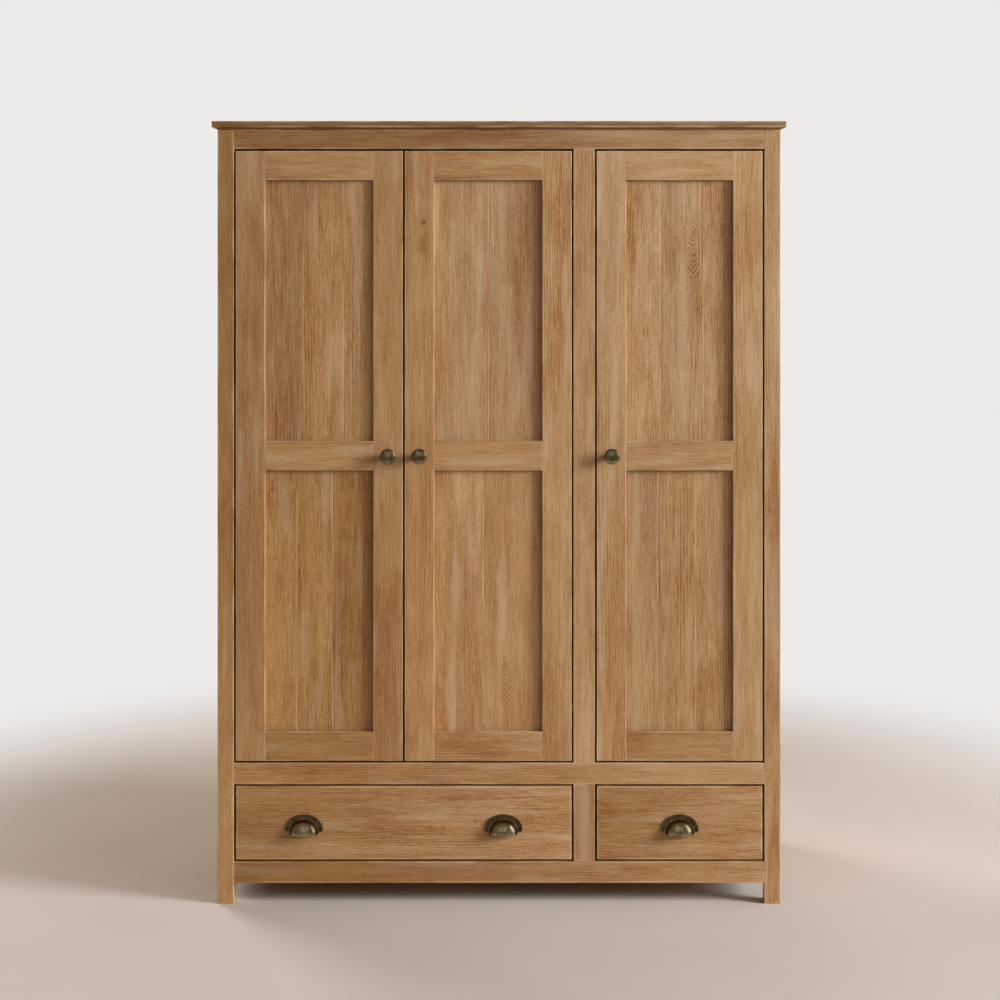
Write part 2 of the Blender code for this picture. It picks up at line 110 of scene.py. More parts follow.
# Knobs, hinges, screws and shelf pins
KNOB_STEPS = 72
RIM_SHARE = 0.74  # of a knob's reach, from the door to its rim
CUP_RADIUS = 0.0172  # of a hinge cup
EAR = 0.0215  # a hinge cup's screws above and below its middle
PLATE_SCREW = (0.007, 0.0015, 0.015)  # in from the plate's edges, and off its middle
PULL_HEAD = (0.0025, 0.0014)  # screw heads: radius and height
CUP_HEAD = (0.0028, 0.0012)
PLATE_HEAD = (0.0032, 0.0014)
KNOB_HEAD = (0.0042, 0.0022)
PIN_RADIUS = 0.0025
PIN_LENGTH = 0.0095  # how far a pin stands out of the wall
PIN_INSET = 0.045  # from a shelf's front and back edges
SMALL_STEPS = 24  # round a screw or a pin

FLOOR_SIZE = 9.0  # from the middle to a side of the floor
FLOOR_FADE = (1.3, 2.4)  # distances over which the floor melts into the background

AXES = {"X": 0, "Y": 1, "Z": 2}
FORWARD = Matrix.Rotation(math.radians(90), 4, "X")  # +Z of a lathe towards -Y
BACKWARD = Matrix.Rotation(math.radians(-90), 4, "X")  # +Z of a lathe towards +Y

# Dark, middle and light colours of the woods
OAK = ((0.245, 0.092, 0.021), (0.390, 0.208, 0.081), (0.52, 0.329, 0.157))
PLYWOOD = ((0.34, 0.20, 0.10), (0.50, 0.34, 0.19), (0.62, 0.46, 0.29))

# Pieces that differ from the rest: how light, how ruddy, and how much painted light makes them
# lighter towards the end of the board that lies right or up (painted shade where negative)
TONES = {
    "top_board": (0.58, 2.9, 0.0), "rail_top": (0.78, 0.6, 0.11), "rail_bottom": (0.84, 0.4, 0.23),
    "rail_middle": (0.97, -0.3, -0.04), "leg_front_left": (0.90, 0.2, -0.17),
    "leg_front_right": (0.98, -0.5, 0.03), "leg_rear_right": (0.88, 0.3, 0.0),
    "side_panel_right": (0.84, 0.4, 0.0), "mullion_upper": (1.03, -0.9, 0.0),
    "mullion_lower": (0.92, 0.4, 0.0), "drawer_wide_front": (0.93, -0.6, 0.17),
    "drawer_narrow_front": (0.85, 1.3, 0.12), "door_left_panel_lower": (0.91, 0.8, 0.0),
    "door_left_stile_hinge": (1.01, -1.0, 0.03), "door_left_rail_bottom": (0.84, 0.4, 0.0),
    "door_middle_stile_hinge": (1.07, -0.9, 0.12), "door_middle_panel_upper": (1.10, -1.2, 0.0),
    "door_middle_panel_lower": (1.06, -0.5, 0.0), "door_middle_rail_bottom": (1.04, -1.2, 0.0),
    "door_right_stile_free": (1.07, -1.1, 0.0), "door_right_stile_hinge": (0.98, 0.1, 0.11),
    "door_right_panel_lower": (0.92, 0.2, 0.0), "door_right_rail_bottom": (0.88, 0.4, 0.0),
}
EVEN = (1.0, 0.0, 0.0)  # the tone of every other piece
MIDDLE = Vector((0.0, 0.0, 0.9))  # where the painted sheen is nil and a piece is as ruddy as its tone says
PAINTED_SHEEN_SLOPE = Vector((1.6, 0.0, 0.7))  # painted sheen: how much less ruddy per metre right and up
PAINTED_LIGHT_PALING = 7.0  # how much less ruddy the wood gets as its painted light makes it lighter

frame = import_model()


# ---- shader graphs

class Graph:
    """A material's node graph, built by small calls that return sockets."""

    def __init__(self, name):
        self.material = bpy.data.materials.new(name)
        self.material.use_nodes = True
        self.tree = self.material.node_tree
        self.shader = self.tree.nodes["Principled BSDF"]

    def set(self, socket, value):
        if isinstance(value, bpy.types.NodeSocket):
            self.tree.links.new(value, socket)
        else:
            socket.default_value = value

    def node(self, kind, inputs, output=0, **settings):
        node = self.tree.nodes.new("ShaderNode" + kind)
        for key, value in settings.items():
            setattr(node, key, value)
        for key, value in inputs.items():
            self.set(node.inputs[key], value)
        return node.outputs[output]

    def attribute(self, name, output):
        return self.node("Attribute", {}, output, attribute_name=name)

    def math(self, operation, *values):
        return self.node("Math", dict(enumerate(values)), operation=operation)

    def times(self, first, second):
        return self.math("MULTIPLY", first, second)

    def vector(self, operation, *values, output=0, scale=None):
        inputs = dict(enumerate(values))
        if scale is not None:
            inputs["Scale"] = scale
        return self.node("VectorMath", inputs, output, operation=operation)

    def noise(self, place, scale, detail=2.0, roughness=0.5, output=0):
        """Noise from 0 to 1 whose grains are 1 / scale long on each axis."""
        stretched = self.vector("MULTIPLY", place, scale)
        inputs = {"Vector": stretched, "Scale": 1.0, "Detail": detail, "Roughness": roughness}
        return self.node("TexNoise", inputs, output)

    def noise_colour(self, place, scale):
        """Three unrelated noises from 0 to 1, as a vector."""
        return self.noise(place, scale, output=1)

    def sway(self, place, scale, amount, detail=2.0):
        """Noise centred on 0 that spans about plus and minus amount."""
        centred = self.math("SUBTRACT", self.noise(place, scale, detail), 0.5)
        return self.times(centred, 2.0 * amount)

    def ease(self, value, low, high, start=0.0, end=1.0):
        inputs = {0: value, 1: low, 2: high, 3: start, 4: end}
        return self.node("MapRange", inputs, interpolation_type="SMOOTHSTEP")

    def fade(self, value, low, high, start=1.0):
        return self.ease(value, low, high, start, 0.0)

    def axis(self, vector, name):
        return self.node("SeparateXYZ", {0: vector}, name)

    def distance(self, place, stretch):
        """How far a place is from the origin once each axis is stretched."""
        return self.vector("LENGTH", self.vector("MULTIPLY", place, stretch), output="Value")

    def ripples(self, value):
        """Narrow crests from -0.3 to 0.7, one for each whole step of the value."""
        turn = self.math("FRACT", value)
        crest = self.times(self.ease(turn, 0.35, 0.75), self.fade(turn, 0.75, 1.0))
        return self.math("SUBTRACT", crest, 0.3)

    def total(self, *values):
        result = values[0]
        for value in values[1:]:
            result = self.math("ADD", result, value)
        return result

    def blend(self, share, first, second, mode="MIX"):
        node = self.tree.nodes.new("ShaderNodeMix")
        node.data_type = "RGBA"
        node.blend_type = mode
        self.set(node.inputs["Factor"], share)
        self.set(node.inputs["A"], first)
        self.set(node.inputs["B"], second)
        return node.outputs["Result"]

    def ramp(self, value, stops):
        node = self.tree.nodes.new("ShaderNodeValToRGB")
        elements = node.color_ramp.elements
        while len(elements) < len(stops):
            elements.new(0.5)
        for element, (position, colour) in zip(elements, stops):
            element.position = position
            element.color = (*colour, 1.0)
        self.set(node.inputs[0], value)
        return node.outputs[0]

    def finish(self, colour, roughness, height, **constants):
        """Wire the surface; height is in metres, and constants go on the shader itself."""
        self.set(self.shader.inputs["Base Color"], colour)
        self.set(self.shader.inputs["Roughness"], roughness)
        bump = self.node("Bump", {"Strength": 1.0, "Distance": 1.0, "Height": height})
        self.set(self.shader.inputs["Normal"], bump)
        for key, value in constants.items():
            self.shader.inputs[key.replace("_", " ")].default_value = value
        return self.material


def scaled(colour, shares):
    """A colour with each channel scaled by its own share, as RGBA."""
    return (*(min(1.0, channel * share) for channel, share in zip(colour, shares)), 1.0)


def knot_distances(g, grain):
    """Distances for the knot, the grain that swells round it and its tail, further along.

    They are measured in ovals along the grain. The last value is the place from the tail.
    """
    wander = g.vector("SUBTRACT", g.noise_colour(grain, (22.0, 75.0, 75.0)), (0.5, 0.5, 0.5))
    place = g.vector("ADD", g.attribute("knot", "Vector"), g.vector("SCALE", wander, scale=2.2))
    tail = g.vector("ADD", place, (9.3, 0.0, 0.0))
    return (g.distance(place, (0.8, 1.0, 0.0)), g.distance(place, (0.26, 0.55, 0.0)),
            g.distance(tail, (0.22, 0.46, 0.0)), tail)


def growth_rings(g, grain, swell, ring_step):
    """The late wood of each year's ring, from 0 to 1, in the stretches where rings show."""
    radius = g.total(g.distance(grain, (0.0, 1.0, 1.0)), g.times(g.axis(grain, "X"), 0.009),
                     g.sway(grain, (2.2, 9.0, 9.0), 0.006), g.times(swell, 0.012))
    turn = g.math("FRACT", g.math("DIVIDE", radius, ring_step))
    late = g.times(g.ease(turn, 0.25, 0.88), g.fade(turn, 0.90, 1.0))
    return g.times(late, g.ease(g.noise(grain, (1.5, 14.0, 14.0)), 0.42, 0.70))


def knot_figure(g, grain, flow, tail, tail_distance):
    """Ovals round the knot and vees round its tail, broken up along the grain."""
    ovals = g.times(g.ripples(g.times(flow, 3.3)), g.fade(flow, 1.0, 1.45))
    beside = g.math("ABSOLUTE", g.axis(tail, "Y"))
    vee = g.math("ADD", g.times(g.axis(tail, "X"), 0.22), g.times(beside, -0.40))
    vees = g.times(g.ripples(g.times(vee, 2.5)), g.fade(tail_distance, 0.7, 1.25))
    shown = g.ease(g.noise(grain, (38.0, 110.0, 110.0)), 0.34, 0.60, 0.1, 0.85)
    return g.times(g.math("ADD", ovals, vees), shown)


def tint(g, colour, grain, blush):
    """Redden the wood by blush, and by a little more or less from place to place."""
    ruddy = g.math("ADD", blush, g.sway(grain, (1.8, 9.0, 9.0), 0.9))
    green = g.math("SUBTRACT", 1.0, g.times(ruddy, 0.045))
    blue = g.math("SUBTRACT", 1.0, g.times(ruddy, 0.14))
    tinge = g.node("CombineColor", {0: 1.0, 1: green, 2: blue})
    return g.blend(1.0, colour, tinge, "MULTIPLY")


def add_milk(g, colour, grain, light, fineness):
    """Broad pale veils and thin pale flecks."""
    veil = g.times(g.ease(g.noise(grain, (3.0, 34.0, 34.0), 3.0), 0.52, 0.68), 0.34)
    flecks = g.times(g.ease(g.noise(grain, (9.0, 260.0, 260.0)), 0.60, 0.76), 0.40 * fineness)
    return g.blend(g.math("MAXIMUM", veil, flecks), colour, scaled(light, (1.02, 1.15, 1.50)))


def add_knot(g, colour, dark, distances, strength):
    """Darken the grain round the knot and its tail, then the knot and the small mark."""
    eye_distance, flow, tail_distance = distances
    eye = g.times(g.fade(eye_distance, 0.35, 1.15), strength)
    halo = g.math("ADD", g.fade(flow, 0.1, 1.6, 0.42), g.fade(tail_distance, 0.1, 1.5, 1.1))
    colour = g.blend(g.times(halo, strength), colour, (*dark, 1.0))
    spot = g.distance(g.attribute("mark", "Vector"), (0.45, 1.0, 0.0))
    eye = g.math("MAXIMUM", eye, g.fade(spot, 0.4, 1.2, 0.85))
    return g.blend(eye, colour, scaled(dark, (0.42, 0.30, 0.22)))


def make_wood(name, tones, ring_step, ring_depth, fineness, roughness):
    """Wood with rings round the heart, blotches, streaks, fibres, pores, knots, and pale edges,
    worn and with a painted highlight.

    ring_step is a year's growth in metres, ring_depth how dark the late wood is, and
    fineness how strongly the fine figure shows.
    """
    g = Graph(name)
    dark, middle, light = tones
    grain = g.attribute("grain", "Vector")
    edge = g.attribute("edge", "Fac")
    board = g.attribute("tone", "Vector")
    tone, blush, knot_strength = (g.axis(board, axis) for axis in "XYZ")
    eye_distance, flow, tail_distance, tail = knot_distances(g, grain)
    swell = g.fade(flow, 0.0, 2.2)
    figured = g.math("MINIMUM", g.math("ADD", swell, g.fade(tail_distance, 0.6, 1.6)), 1.0)
    ring = growth_rings(g, grain, swell, ring_step)

    # Layers of lighter and darker wood, from broad ones to grains finer than a millimetre
    patches = g.sway(grain, (1.6, 7.0, 7.0), 0.36)
    clouds = g.sway(grain, (8.0, 21.0, 21.0), 0.25, 3.0)
    flames = g.times(g.ease(g.noise(grain, (3.6, 19.0, 19.0), 3.0), 0.53, 0.63), -0.13 * fineness)
    bands = g.sway(grain, (2.0, 44.0, 44.0), 0.19)
    streaks = g.sway(grain, (7.0, 130.0, 130.0), 0.16)
    lines = g.sway(grain, (9.0, 330.0, 330.0), 0.32 * fineness)
    fibres = g.sway(grain, (32.0, 470.0, 470.0), 0.50 * fineness)
    grit = g.sway(grain, (170.0, 450.0, 450.0), 0.42 * fineness)
    pores = g.ease(g.noise(grain, (85.0, 1500.0, 1500.0), 1.0), 0.60, 0.72)
    fine = g.times(g.total(streaks, lines, fibres, grit),
                   g.math("SUBTRACT", 1.0, g.times(figured, 0.7)))
    value = g.total(0.515, patches, clouds, flames, bands, fine, g.times(ring, -ring_depth),
                    knot_figure(g, grain, flow, tail, tail_distance), g.times(pores, -0.16))

    colour = g.ramp(value, ((0.0, dark), (0.5, middle), (1.0, light)))
    colour = tint(g, colour, grain, blush)
    colour = add_milk(g, colour, grain, light, fineness)
    colour = add_knot(g, colour, dark, (eye_distance, flow, tail_distance), knot_strength)
    # The tone's lightness carries the painted light gradient towards the right and up.
    brightness = g.node("CombineColor", {0: tone, 1: tone, 2: tone})
    colour = g.blend(1.0, colour, brightness, "MULTIPLY")
    # Pale edges: partly worn, partly a painted highlight of the window's light on the rounded
    # edges.
    wear_and_highlight = g.times(edge, g.ease(g.noise(grain, (9.0, 60.0, 60.0), 3.0), 0.38, 0.62))
    colour = g.blend(g.times(wear_and_highlight, 0.58), colour, scaled(light, (1.14, 1.20, 1.42)))

    sheen = g.total(roughness, g.times(clouds, 0.10), g.times(streaks, 0.12),
                    g.times(pores, 0.14), g.times(wear_and_highlight, -0.05))
    height = g.total(g.times(pores, -4e-5), g.times(lines, 2.2e-5),
                     g.times(grit, 1.2e-5), g.times(ring, 1.5e-5),
                     g.sway(grain, (3.0, 14.0, 14.0), 9e-5))
    return g.finish(colour, sheen, height, Specular_IOR_Level=0.5)


def make_brass():
    """Antique brass: a dark brown patina.

    It is rubbed to olive where the edge attribute is high, painted red-brown in a recess, where
    the attribute is negative, as a painted reflection of the wood, and nearly black where the
    attribute is -1.
    """
    g = Graph("antique_brass")
    place = g.node("TexCoord", {}, "Object")
    edge = g.attribute("edge", "Fac")
    mottle = g.noise(place, (260.0, 260.0, 130.0), 3.0, 0.5)
    clouds = g.noise(place, (95.0, 95.0, 60.0), 2.0)
    specks = g.ease(g.noise(place, (620.0, 620.0, 620.0), 2.0), 0.62, 0.74)
    value = g.total(g.times(mottle, 0.25), g.times(clouds, 0.75))
    patina = g.ramp(value, ((0.32, (0.050, 0.034, 0.017)), (0.68, (0.150, 0.118, 0.064))))
    rubbed = g.ramp(value, ((0.28, (0.190, 0.165, 0.084)), (0.72, (0.560, 0.510, 0.310))))
    uneven = g.times(g.math("SUBTRACT", mottle, 0.5), 0.35)
    share = g.ease(g.total(edge, uneven), 0.0, 1.0)
    colour = g.blend(share, patina, rubbed)
    # Painted reflection of the wood beside the cup: red-brown where the edge attribute is
    # negative.
    colour = g.blend(g.fade(edge, -0.5, 0.0), colour, (0.120, 0.045, 0.018, 1.0))
    colour = g.blend(g.fade(edge, -1.0, -0.75), colour, (0.014, 0.010, 0.007, 1.0))
    colour = g.blend(g.times(specks, 0.28), colour, (0.035, 0.022, 0.012, 1.0))
    roughness = g.total(0.20, g.times(mottle, 0.14), g.times(specks, 0.12),
                        g.times(share, -0.06))
    height = g.total(g.times(specks, -1e-5), g.times(mottle, 2.2e-5))
    return g.finish(colour, roughness, height, Metallic=1.0)


def make_steel():
    """Nickel-plated steel with fine drawn lines along Z and slightly brighter edges."""
    g = Graph("nickel_steel")
    place = g.node("TexCoord", {}, "Object")
    lines = g.noise(place, (900.0, 900.0, 30.0), 2.0)
    stains = g.noise(place, (35.0, 35.0, 35.0), 3.0)
    edge = g.attribute("edge", "Fac")
    colour = g.ramp(stains, ((0.3, (0.42, 0.41, 0.39)), (0.7, (0.62, 0.61, 0.59))))
    colour = g.blend(g.times(edge, 0.4), colour, (0.80, 0.79, 0.77, 1.0))
    roughness = g.total(0.20, g.times(lines, 0.14), g.times(stains, 0.10))
    return g.finish(colour, roughness, g.times(lines, 8e-6), Metallic=1.0)


def make_floor_material():
    g = Graph("pale_floor")
    place = g.node("TexCoord", {}, "Object")
    cloud = g.noise(place, (1.5, 1.5, 1.5), 3.0)
    colour = g.ramp(cloud, ((0.3, (0.53, 0.45, 0.385)), (0.7, (0.57, 0.49, 0.425))))
    grain = g.noise(place, (240.0, 240.0, 240.0), 2.0)
    material = g.finish(colour, 0.7, g.times(grain, 2e-4))
    distance = g.vector("LENGTH", place, output="Value")
    g.set(g.shader.inputs["Alpha"], g.fade(distance, *FLOOR_FADE))
    return material


# ---- wood pieces

def block(low, high):
    """A square-edged box as a bmesh."""
    bm = bmesh.new()
    size = Matrix.Diagonal((*(high - low), 1.0))
    bmesh.ops.create_cube(bm, size=1.0, matrix=Matrix.Translation((low + high) / 2) @ size)
    return bm


def soften(bm, edges, radius, wear_and_highlight=1.0, reach=WEAR_AND_HIGHLIGHT_REACH):
    """Round the edges, mark them in the edge attribute, for pale worn edges with a painted
    highlight, and keep the mark near them.
    """
    mark = bm.verts.layers.float.new("edge")
    shortest = min(edge.calc_length() for edge in edges)
    rounded = bmesh.ops.bevel(bm, geom=list(edges), offset=radius, segments=ROUND_STEPS,
                              profile=0.5, affect="EDGES", clamp_overlap=True)
    for face in rounded["faces"]:
        for vert in face.verts:
            vert[mark] = wear_and_highlight
    bands = set(rounded["faces"])
    flats = [face for face in bm.faces if face not in bands]
    margin = min(reach, 0.3 * (shortest - 2 * radius))
    for face in flats:
        bmesh.ops.inset_individual(bm, faces=[face], thickness=margin, use_even_offset=True)
        for vert in face.verts:
            vert[mark] = 0.0


def rounded_block(low, high, radius=EASED, wear_and_highlight=1.0, reach=WEAR_AND_HIGHLIGHT_REACH):
    bm = block(low, high)
    soften(bm, bm.edges, radius, wear_and_highlight, reach)
    return bm


def slice_boards(bm, across, joins):
    """Cut the mesh where glued boards meet, so that each face lies in one board."""
    normal = Vector((0, 0, 0))
    normal[across] = 1.0
    for seam in joins:
        geometry = bm.verts[:] + bm.edges[:] + bm.faces[:]
        bmesh.ops.bisect_plane(bm, geom=geometry, dist=1e-7, plane_co=normal * seam,
                               plane_no=normal)


def glue_joins(low, high, count, rng):
    """Where count boards of slightly different widths meet between low and high."""
    widths = [rng.uniform(0.8, 1.2) for _ in range(count)]
    share = (high - low) / sum(widths)
    joins = []
    place = low
    for width in widths[:-1]:
        place += width * share
        joins.append(place)
    return joins


def as_mesh(name, bm, material):
    """Turn a bmesh into an object in the scene; the bmesh is freed."""
    bmesh.ops.recalc_face_normals(bm, faces=bm.faces)
    mesh = bpy.data.meshes.new(name)
    bm.to_mesh(mesh)
    bm.free()
    mesh.materials.append(material)
    obj = bpy.data.objects.new(name, mesh)
    bpy.context.scene.collection.objects.link(obj)
    return obj


def cut(obj, tools):
    """Cut the tools, each a bmesh, out of obj for good."""
    helpers = []
    for index, bm in enumerate(tools):
        helper = as_mesh(f"{obj.name}_tool_{index}", bm, obj.data.materials[0])
        modifier = obj.modifiers.new(helper.name, "BOOLEAN")
        modifier.operation = "DIFFERENCE"
        modifier.solver = "EXACT"
        modifier.object = helper
        helpers.append(helper)
    graph = bpy.context.evaluated_depsgraph_get()
    mesh = bpy.data.meshes.new_from_object(obj.evaluated_get(graph))
    obj.modifiers.clear()
    obj.data = mesh
    for helper in helpers:
        bpy.data.objects.remove(helper)


def pick_log(rng, arches):
    """A board's place in its tree: along it, sideways and away from the heart.

    A board cut close beside the heart shows arches, and any other one straight lines.
    """
    if arches:
        side = rng.uniform(-0.015, 0.015)
        depth = rng.uniform(0.035, 0.05)
    else:
        side = rng.choice((-1, 1)) * rng.uniform(0.07, 0.16)
        depth = rng.uniform(0.05, 0.12)
    return rng.uniform(2, 40), side, depth


def corner_values(p, board, axes, painted_light):
    """What the wood materials read at p; painted_light is how much lighter the board is painted
    there.
    """
    shift, (lightness, ruddiness), spots = board
    a, c, t = axes
    values = {"grain": (p[a] + shift[0], p[c] + shift[1], p[t] + shift[2])}
    for name, spot in zip(("knot", "mark"), spots):
        offset = (p - Vector(spot[0])) / spot[1] if spot else FAR_KNOT
        values[name] = (offset[a], offset[c], offset[t])
    # Painted light and painted sheen: paler where the painted light is stronger, and towards the
    # right and up.
    ruddy = ruddiness - PAINTED_LIGHT_PALING * painted_light - PAINTED_SHEEN_SLOPE.dot(p - MIDDLE)
    knot_strength = spots[0][2] if spots[0] else 0.0
    values["tone"] = (lightness * (1 + painted_light), ruddy, knot_strength)
    return values


def lay_grain(obj, along, across, joins=(), flat_sawn=(), knots=(), marks=()):
    """Store each face corner's place in its board's tree, and its board's tone.

    flat_sawn lists the boards whose face shows arches. A knot is (place, radius, strength), a
    mark is (place, radius), and a board shows at most one of each.
    """
    rng = random.Random(obj.name)
    a, c = AXES[along], AXES[across]
    t = 3 - a - c
    low, high = Vector(obj.bound_box[0]), Vector(obj.bound_box[6])
    centre = (low + high) / 2
    lightness, ruddiness, painted_light_drift = TONES.get(obj.name.removesuffix("_finish"), EVEN)
    spread = MIXED if joins else MATCHED
    limits = [-math.inf, *joins, math.inf]
    boards = []
    for index, (start, end) in enumerate(zip(limits, limits[1:])):
        middle = (start + end) / 2 if 0 < index < len(joins) else centre[c]
        place, side, depth = pick_log(rng, index in flat_sawn)
        shift = (place, side - middle, depth - centre[t])
        tones = (lightness * rng.uniform(1 - spread, 1 + spread),
                 ruddiness + rng.uniform(-RUDDY_SPREAD, RUDDY_SPREAD))
        spots = [next((item for item in items if start < Vector(item[0])[c] < end), None)
                 for items in (knots, marks)]
        boards.append((shift, tones, spots))

    mesh = obj.data
    values = {"grain": [], "knot": [], "mark": [], "tone": []}
    for face in mesh.polygons:
        board = boards[sum(face.center[c] > limit for limit in joins)]
        for index in face.vertices:
            p = mesh.vertices[index].co
            # Painted light: the board is painted lighter towards its end that lies right or up.
            painted_light = painted_light_drift * (p[a] - centre[a]) / (high[a] - centre[a])
            for name, numbers in corner_values(p, board, (a, c, t), painted_light).items():
                values[name].extend(numbers)
    for name, numbers in values.items():
        layer = mesh.attributes.new(name, "FLOAT_VECTOR", "CORNER")
        layer.data.foreach_set("vector", numbers)


def smooth(obj):
    """Smooth shading that keeps flat faces flat."""
    obj.data.shade_smooth()
    obj.data.set_sharp_from_angle(angle=SHARP)
    normals = obj.modifiers.new("flat_faces", "WEIGHTED_NORMAL")
    normals.keep_sharp = True


def settle(obj, slot, *nodes, body=None):
    """Put a finished piece on its body and let it stand for its CAD nodes."""
    smooth(obj)
    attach(obj, body or frame["nodes"][nodes[0]]["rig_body"])
    if nodes:
        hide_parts(*nodes)


def make_board(node, material, slot, along, across, count=1, radius=EASED, **figure):
    """Replace a CAD board by rounded boards glued edge to edge, with their grain."""
    low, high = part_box(node)
    bm = rounded_block(low, high, radius)
    c = AXES[across]
    joins = glue_joins(low[c], high[c], count, random.Random(node + "_joins"))
    slice_boards(bm, c, joins)
    obj = as_mesh(node + "_finish", bm, material)
    lay_grain(obj, along, across, joins, **figure)
    settle(obj, slot, node)


def make_top(oak):
    """The top board, with its upright edge and the bevel below it."""
    low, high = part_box("top_board")
    bm = bmesh.new()
    levels = ((high.z, 0.0), (high.z - TOP_EDGE, 0.0), (low.z, OVERHANG))
    rings = []
    for z, inset in levels:
        corners = ((low.x + inset, low.y + inset), (high.x - inset, low.y + inset),
                   (high.x - inset, high.y), (low.x + inset, high.y))
        rings.append([bm.verts.new((x, y, z)) for x, y in corners])
    bm.faces.new(rings[0])
    bm.faces.new(rings[-1])
    for upper, lower in zip(rings, rings[1:]):
        for index in range(4):
            after = (index + 1) % 4
            bm.faces.new((upper[index], upper[after], lower[after], lower[index]))
    bmesh.ops.recalc_face_normals(bm, faces=bm.faces)
    soften(bm, bm.edges, EASED)
    joins = glue_joins(low.y, high.y, 5, random.Random("top_joins"))
    slice_boards(bm, AXES["Y"], joins)
    obj = as_mesh("top_board_finish", bm, oak)
    lay_grain(obj, "X", "Y", joins, flat_sawn=(2,))
    settle(obj, "oak_finish", "top_board")


def make_carcass(oak, plywood):
    """Legs, rails, mullions, sides, back, partition, deck and shelves."""
    for side in ("left", "right"):
        make_board(f"leg_front_{side}", oak, "oak_finish", "Z", "X")
        make_board(f"leg_rear_{side}", oak, "oak_finish", "Z", "Y")
        make_board(f"side_panel_{side}", oak, "oak_finish", "Z", "Y", 4, JOINED, flat_sawn=(1,))
    for place in ("top", "middle", "bottom"):
        make_board(f"rail_{place}", oak, "oak_finish", "X", "Z", radius=JOINED)
    for place in ("upper", "lower"):
        make_board(f"mullion_{place}", oak, "oak_finish", "Z", "X", radius=JOINED)
    make_board("partition", oak, "oak_finish", "Z", "Y", 4, flat_sawn=(2,))
    make_board("drawer_divider", oak, "oak_finish", "Y", "Z")
    for node in ("deck", "hat_shelf", "shelf_lower", "shelf_upper"):
        make_board(node, oak, "oak_finish", "X", "Y", 4, flat_sawn=(1,))
    make_board("back_panel", plywood, "plywood", "Z", "X", 3, JOINED, flat_sawn=(0, 1, 2))


def make_runner(node, oak):
    """A hardwood runner: the CAD section with its edges rounded."""
    bm = bmesh.new()
    bm.from_mesh(frame["nodes"][node].data)
    bmesh.ops.remove_doubles(bm, verts=bm.verts, dist=1e-6)
    bmesh.ops.dissolve_limit(bm, angle_limit=math.radians(1), verts=bm.verts, edges=bm.edges)
    soften(bm, bm.edges, JOINED)
    obj = as_mesh(node + "_finish", bm, oak)
    lay_grain(obj, "Y", "X")
    settle(obj, "oak_finish", node)


# ---- doors

def grown(node, amount):
    """A node's box, larger by amount on every side."""
    low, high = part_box(node)
    margin = Vector((amount, amount, amount))
    return low - margin, high + margin


def cup_bore(node, reach):
    """The bore in a door's back for a hinge cup."""
    low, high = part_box(node)
    x = high.x - CUP_RADIUS if reach > 0 else low.x + CUP_RADIUS
    depth = 2 * (high.y - low.y)
    bm = bmesh.new()
    place = Matrix.Translation((x, low.y - FIT + depth / 2, (low.z + high.z) / 2))
    bmesh.ops.create_cone(bm, cap_ends=True, segments=64, radius1=CUP_RADIUS + FIT,
                          radius2=CUP_RADIUS + FIT, depth=depth, matrix=place @ FORWARD)
    return bm


def make_panel(node, oak, count, figure):
    """A door panel glued up from boards that meet at very fine grooves."""
    low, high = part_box(node)
    joins = glue_joins(low.x, high.x, count, random.Random(node + "_joins"))
    bm = bmesh.new()
    sides = [low.x, *joins, high.x]
    for left, right in zip(sides, sides[1:]):
        board = rounded_block(Vector((left, low.y, low.z)), Vector((right, high.y, high.z)),
                              SEAM, PANEL_WEAR_AND_HIGHLIGHT, NARROW)
        mesh = bpy.data.meshes.new("board")
        board.to_mesh(mesh)
        board.free()
        bm.from_mesh(mesh)
        bpy.data.meshes.remove(mesh)
    obj = as_mesh(node + "_finish", bm, oak)
    lay_grain(obj, "Z", "X", joins, **figure)
    settle(obj, "oak_finish", node)


def make_stiles(word, reach, oak, box, sight, grooves, knots):
    """The hinge stile, bored for its cups, and the free stile."""
    low, high = box
    spans = [(low.x, sight[0]), (sight[1], high.x)]
    if reach < 0:
        spans.reverse()
    for part, (left, right) in zip(("hinge", "free"), spans):
        corners = (Vector((left, low.y, low.z)), Vector((right, high.y, high.z)))
        bm = rounded_block(*corners, STILE_EASE, DOOR_WEAR_AND_HIGHLIGHT, NARROW)
        stile = as_mesh(f"door_{word}_stile_{part}", bm, oak)
        tools = [block(*groove) for groove in grooves]
        if part == "hinge":
            tools += [cup_bore(f"hinge_{word}_{place}_cup", reach) for place in ("lower", "upper")]
        cut(stile, tools)
        lay_grain(stile, "Z", "X", knots=[knot for knot in knots if left < knot[0][0] < right])
        settle(stile, "oak_finish", body=f"door_{word}")


def make_rails(door, oak, box, sight, levels, grooves):
    """The rails, of which the lock rail stands for the CAD frame."""
    low, high = box
    for part, (bottom, top) in levels.items():
        corners = (Vector((sight[0] + FIT / 2, low.y, bottom)),
                   Vector((sight[1] - FIT / 2, high.y, top)))
        bm = rounded_block(*corners, STILE_EASE, DOOR_WEAR_AND_HIGHLIGHT, NARROW)
        rail = as_mesh(f"{door}_rail_{part}", bm, oak)
        cut(rail, [block(*groove) for groove in grooves])
        lay_grain(rail, "X", "Z")
        if part == "lock":
            settle(rail, "oak_finish", door + "_frame")
        else:
            settle(rail, "oak_finish", body=door)


